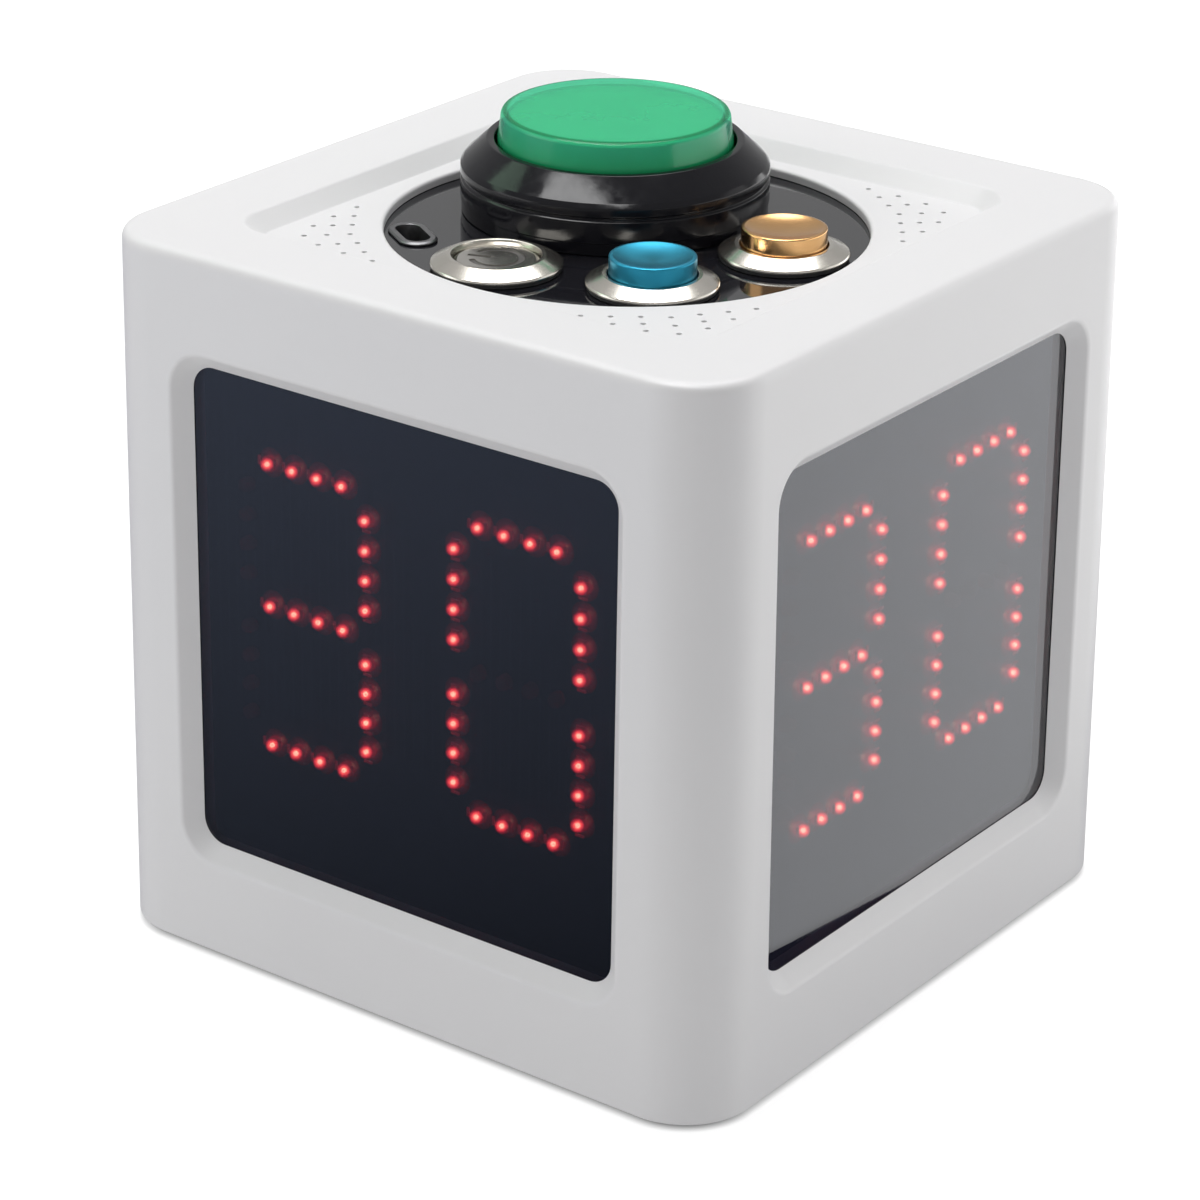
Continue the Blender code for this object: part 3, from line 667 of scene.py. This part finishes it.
def small_switches():
    tones = {"power": ((0.62, 0.60, 0.56), (0.54, 0.52, 0.48), 0.2),
             "start": ((0.030, 0.26, 0.38), (0.020, 0.20, 0.31), 0.36),
             "reset": ((0.75, 0.45, 0.20), (0.62, 0.35, 0.145), 0.2)}
    head = softened([
        (8.45, -9), (8.45, 2.9, 0.2), (9.3, 2.9, 0.25), (12.3, 1.5, 0.2), (12.5, 1.2, 0.15),
        (12.5, 0.85, 0.1), (10.9, 0.85), (10.9, -24), (8.2, -24), (8.2, -13), (4.5, -13),
        (4.5, -9), (8.45, -9)])[:-1]
    for name, (_, _, face) in SMALL.items():
        at = switch_at(name)
        steel = turned_metal("steel_" + name, at, (0.70, 0.67, 0.61), (0.62, 0.59, 0.53), 0.2)
        show(name + "_head", lathe_mesh(name + "_head", head, at, 96, True), steel, "case",
             name + "_body")
        raised = face > 4
        if raised:
            top = [(r, face - 1.35 + 1.25 * (r / 7.2) ** 2.2)
                   for r in (0, 1.2, 2.4, 3.6, 4.8, 6.0, 6.8)]
            top += [(7.45, face, 0.25), (8.15, face - 0.1, 0.35)]
        else:
            top = [(0, face - 0.25), (7.3, face - 0.25, 0.3), (8.15, face - 0.75, 0.3)]
        outline = softened(top + [(8.15, -3), (3, -3), (3, -12), (0, -12)])
        mesh = lathe_mesh(name + "_button", outline, at, 96)
        if not raised:
            mesh = combined(mesh, [("DIFFERENCE", m) for m in power_symbol(at, face)])
        metal = turned_metal("metal_" + name, at, *tones[name])
        piece = show(name + "_button", mesh, metal, name + "_button", name + "_plunger")
        if not raised:
            weighted(piece)
            for part, paint in zip(("ring", "bar"), power_symbol(at, face, -0.78, -0.55)):
                show("power_symbol_" + part, paint, M["ink"], "power_button", ())


def socket_matrix():
    spin = Matrix.Rotation(SOCKET_TURN, 4, "Z")
    return Matrix.Translation(Vector((*SOCKET_XY, Z_PANEL)) * MM) @ spin


def grown(size, by, z):
    """Section for a loft: half sizes and corner radius, all grown alike, at a height."""
    return (*(v + by for v in size), z)


def charge_socket():
    shell, hole = (5.9, 3.0, 2.9), (5.2, 2.4, 2.3)
    rim = softened([(0, 0), (0, 0.12), (0.8, 0.12, 0.1), (0.8, 0.45, 0.15), (0.35, 0.75, 0.2),
                    (-0.6, 0.75)])
    place = socket_matrix()
    sections = [(*shell, -9), (*shell, 0.1)] + [grown(shell, d, z) for d, z in rim[2:-1]]
    bore = softened([(0, -7), (0, 0.75, 0.2), (1, 0.75)], 3)[:-1]
    bore = [grown(hole, d, z) for d, z in bore] + [grown(hole, 0.4, 1.0)]
    mesh = combined(loft_mesh("socket_shell", sections, place, 10), [
        ("DIFFERENCE", loft_mesh("socket_bore", bore, place, 10)),
        ("UNION", box_mesh("tongue", [(-3.6, 3.6, -0.4, 0.4, -7.5, -2.6)], place))])
    rimmed = surface("socket_metal", (0.20, 0.20, 0.20), (0.13, 0.13, 0.14), 0.35, 0.06, 300, 1200,
                     0.1, 0.05, uniform=PLAIN_METAL)
    show("socket_shell", mesh, rimmed, "case", "charge_socket")


def underside():
    foot = softened([(0, 1.45), (8.0, 1.45, 0.1), (8.0, 0.0, 0.5), (6.2, 0.0, 0.2),
                     (5.9, 0.25, 0.1), (0, 0.25)])
    low = Z_LOW + 0.6
    screw = softened([(0, 14), (1.15, 13.2), (1.15, low + 1.08), (3.3, low + 1.08, 0.1),
                      (3.3, low + 0.45, 0.3), (2.2, low + 0.1, 0.3), (0, low + 0.1)])
    for i, (sx, sy) in enumerate((sx, sy) for sx in (-1, 1) for sy in (-1, 1)):
        pad = lathe_mesh(f"foot_pad_{i + 1}", foot, (sx * FOOT_AT, sy * FOOT_AT, 0), 64)
        show(f"foot_pad_{i + 1}", pad, M["rubber"], "case", f"foot_{i + 1}")
        at = (sx * BOSS_AT, sy * BOSS_AT, 0)
        place = Matrix.Translation(Vector(at) * MM)
        cross = [box_mesh("slot", [(-1.6, 1.6, -0.3, 0.3, low - 1, low + 0.8)], place),
                 box_mesh("slot", [(-0.3, 0.3, -1.6, 1.6, low - 1, low + 0.8)], place)]
        mesh = combined(lathe_mesh(f"cover_bolt_{i + 1}", screw, at, 40),
                        [("DIFFERENCE", c) for c in cross])
        show(f"cover_bolt_{i + 1}", mesh, M["screw"], "case", f"cover_screw_{i + 1}")


# ---------------------------------------------------------------- other CAD nodes

def dress_nodes():
    """Looks for the CAD nodes, most of which are shown as they are."""
    kinds = [
        ("window", "window"), ("spacer", "frame"), ("display_board", "black_pcb"),
        ("bottom_cover", "white"), ("control_panel", "panel"), ("panel_screw", "screw"),
        ("cover_screw", "screw"), ("foot", "rubber"), ("main_board", "green_pcb"),
        ("battery_pack", "wrap"), ("speaker", "black"), ("main_plunger", "black"),
        ("main_nut", "black"), ("lamp_holder", "black"), ("lamp", "lamp"),
        ("microswitch", "black"), ("switch_actuator", "diffuser"), ("housing", "white"),
        ("main_body", "bezel"), ("main_cap", "cap"), ("main_diffuser", "diffuser"),
        ("charge_socket", "nut")]
    for name, obj in NODES.items():
        key = next((m for start, m in kinds if name.startswith(start)), None)
        key = key or ("spring" if name.endswith("spring") else
                      "rubber" if name.endswith("gasket") else
                      "black" if name.endswith("contacts") else "nut")
        for s in obj.material_slots:
            s.material = M[key]


# ---------------------------------------------------------------- camera, floor and light

CAMERA_ANGLES = (36.529, 23.674, 0.635)  # azimuth, elevation and roll, in degrees
CAMERA_AT, LENS = (439.31, -600.43, 389.88), 122.93


def camera():
    az, el, roll = (math.radians(a) for a in CAMERA_ANGLES)
    back = Vector((math.sin(az) * math.cos(el), -math.cos(az) * math.cos(el), math.sin(el)))
    right = Vector((math.cos(az), math.sin(az), 0))
    up = back.cross(right)
    across = right * math.cos(roll) + up * math.sin(roll)
    upward = up * math.cos(roll) - right * math.sin(roll)
    place = Matrix((across, upward, back)).transposed().to_4x4()
    place.translation = Vector(CAMERA_AT) * MM
    data = bpy.data.cameras.new("camera")
    data.lens, data.sensor_width = LENS, 36.0
    data.clip_start, data.clip_end = 0.02, 30
    obj = bpy.data.objects.new("camera", data)
    SCENE.collection.objects.link(obj)
    obj.matrix_world = place
    SCENE.camera = obj


def ground(name, low, albedo, glow):
    """Floor sheet; its glow fades out under the footprint of what stands on it, a painted contact
    shadow.
    """
    bm = bmesh.new()
    bmesh.ops.create_grid(bm, x_segments=12, y_segments=12, size=3.0,
                          matrix=Matrix.Translation((0, 0, low * MM)))
    mesh = finish_mesh(bm, name)
    mat, tree, shader = new_material(name)
    place = tree.nodes.new("ShaderNodeTexCoord").outputs["Object"]
    tree.links.new(mixed(tree, noise(tree, place, 3), (albedo,) * 3, (albedo * 1.03,) * 3),
                   shader.inputs["Base Color"])
    shader.inputs["Roughness"].default_value = 0.9
    shader.inputs["Specular IOR Level"].default_value = 0.0
    if glow:
        # Painted contact shadow: no glow well inside the case's rounded footprint, fading in across
        # its edge.
        past = place
        near, far = (CORNER_R - 2.5) * MM, (CORNER_R + 0.5) * MM
        straight = (HALF_BOTTOM - CORNER_R) * MM
        for operation, value in (("ABSOLUTE", None), ("SUBTRACT", straight), ("MAXIMUM", 0.0),
                                 ("MULTIPLY", (1, 1, 0)), ("LENGTH", None)):
            node = tree.nodes.new("ShaderNodeVectorMath")
            node.operation = operation
            tree.links.new(past, node.inputs[0])
            if value is not None:
                node.inputs[1].default_value = value if isinstance(value, tuple) else (value,) * 3
            past = node.outputs["Value" if operation == "LENGTH" else "Vector"]
        tree.links.new(mixed(tree, ranged(tree, past, 0, 1, near, far), (0, 0, 0), (1, 1, 1)),
                       shader.inputs["Emission Color"])
        shader.inputs["Emission Strength"].default_value = glow
    obj = bpy.data.objects.new(name, mesh)
    mesh.materials.append(mat)
    SCENE.collection.objects.link(obj)
    return obj


def backdrop():
    """Pale cove far round the floor, seen by the camera alone."""
    cove = softened([(2950, 0), (3100, 0, 300), (3400, 4000)], 6)
    mesh = lathe_mesh("backdrop", cove, (0, 0, -1), 48)
    mat, tree, shader = new_material("backdrop")
    place = tree.nodes.new("ShaderNodeTexCoord").outputs["Object"]
    tree.links.new(mixed(tree, noise(tree, place, 1), (0.97,) * 3, (1, 1, 1)),
                   shader.inputs["Emission Color"])
    shader.inputs["Emission Strength"].default_value = 0.95
    shader.inputs["Base Color"].default_value = (0, 0, 0, 1)
    mesh.materials.append(mat)
    obj = bpy.data.objects.new("backdrop", mesh)
    SCENE.collection.objects.link(obj)
    obj.visible_diffuse = obj.visible_glossy = obj.visible_transmission = obj.visible_shadow = False


def card(name, at, facing, size, level, fade=1.0, tint=(1, 1, 1), foot=(-0.5, -0.5)):
    """Studio card that shows only in gloss: bright at its top, fading to a share at its foot.
    The foot gives the heights of its lower corners, as shares of its size."""
    bm = bmesh.new()
    corners = ((-0.5, foot[0]), (0.5, foot[1]), (0.5, 0.5), (-0.5, 0.5))
    bm.faces.new([bm.verts.new((x, y, 0)) for x, y in corners])
    mesh = finish_mesh(bm, name)
    mat, tree, shader = new_material(name)
    place = tree.nodes.new("ShaderNodeTexCoord").outputs["Generated"]
    parts = tree.nodes.new("ShaderNodeSeparateXYZ")
    tree.links.new(place, parts.inputs[0])
    tree.links.new(mixed(tree, parts.outputs["Y"], [fade * c for c in tint], tint),
                   shader.inputs["Emission Color"])
    shader.inputs["Base Color"].default_value = (0, 0, 0, 1)
    shader.inputs["Emission Strength"].default_value = level
    mesh.materials.append(mat)
    obj = bpy.data.objects.new(name, mesh)
    SCENE.collection.objects.link(obj)
    out = Vector(facing).normalized()
    across = Vector((-out.y, out.x, 0)).normalized()
    turn = Matrix((across, out.cross(across), out)).transposed().to_4x4()
    obj.matrix_world = Matrix.Translation(at) @ turn @ Matrix.Diagonal((*size, 1, 1))
    obj.visible_camera = obj.visible_diffuse = obj.visible_shadow = False


def softbox(name, at, aim, size, power):
    data = bpy.data.lights.new(name, "AREA")
    data.shape = "RECTANGLE"
    data.size, data.size_y = size
    data.energy = power
    obj = bpy.data.objects.new(name, data)
    SCENE.collection.objects.link(obj)
    at, aim = Vector(at), Vector(aim)
    turn = (at - aim).to_track_quat("Z", "Y").to_matrix().to_4x4()
    obj.matrix_world = Matrix.Translation(at) @ turn
    obj.visible_camera = False


def world(strength):
    """Even studio surround: pale above, dim below the table's edge."""
    sky = bpy.data.worlds.new("studio")
    SCENE.world = sky
    sky.use_nodes = True
    tree = sky.node_tree
    place = tree.nodes.new("ShaderNodeTexCoord").outputs["Generated"]
    parts = tree.nodes.new("ShaderNodeSeparateXYZ")
    tree.links.new(place, parts.inputs[0])
    ramp = tree.nodes.new("ShaderNodeValToRGB")
    tree.links.new(ranged(tree, parts.outputs["Z"], 0, 1, -1, 1), ramp.inputs["Fac"])
    marks = ((0.0, 0.06), (0.275, 0.14), (0.34, 0.40), (0.5, 0.75), (0.62, 1.0), (1.0, 1.0))
    items = ramp.color_ramp.elements
    for i, (pos, value) in enumerate(marks):
        item = items[i] if i < 2 else items.new(pos)
        item.position = pos
        item.color = (value, value * 0.993, value * (1.0 if pos > 0.4 else 1.7), 1)
    back = tree.nodes["Background"]
    tree.links.new(ramp.outputs["Color"], back.inputs["Color"])
    back.inputs["Strength"].default_value = strength


camera()
seen = ground("floor", 0.0, 0.35, 0.80)
seen.visible_diffuse = seen.visible_glossy = seen.visible_transmission = False
bounce = ground("floor_bounce", -0.5, 0.80, 0.25)
bounce.visible_camera = bounce.visible_glossy = bounce.visible_transmission = False
backdrop()
world(0.475)
softbox("key_top", (-0.20, 0.30, 1.25), (0, 0, 0.1), (0.8, 0.8), 9.7)
softbox("fill_right", (0.85, 0.85, 0.45), (0, 0, 0.08), (0.8, 0.8), 1.3)
softbox("fill_left", (-0.85, -0.85, 0.45), (0, 0, 0.08), (0.8, 0.8), 3.3)
card("card_right", (0.167, 0.129, 0.05), (-0.595, -0.804, 0), (0.36, 0.30), 2.6, 0.50,
     foot=(-0.035, -0.75))
card("card_front", (-0.136, -0.2535, -0.02), (0.595, 0.804, 0), (0.34, 0.30), 0.78, 0.0,
     (0.86, 1.0, 1.32))
card("card_back", (-0.60, 0.80, 0.42), (0.595, -0.804, 0), (1.6, 0.8), 0.42)
card("strip_front", (-0.02, -0.37, 1.10), (0.0, 0.35, -1), (0.95, 0.24), 14)
card("card_left", (-0.77, -0.19, 0.75), (0.77, 0.19, -0.65), (0.35, 0.35), 3.0, 1.0,
     (0.6, 0.85, 0.65))
SCENE.view_settings.view_transform = "Standard"
SCENE.view_settings.look = "None"

dress_nodes()
case_shell()
for k, side in enumerate(SIDES):
    led_array(k, side)
main_button()
small_switches()
charge_socket()
underside()
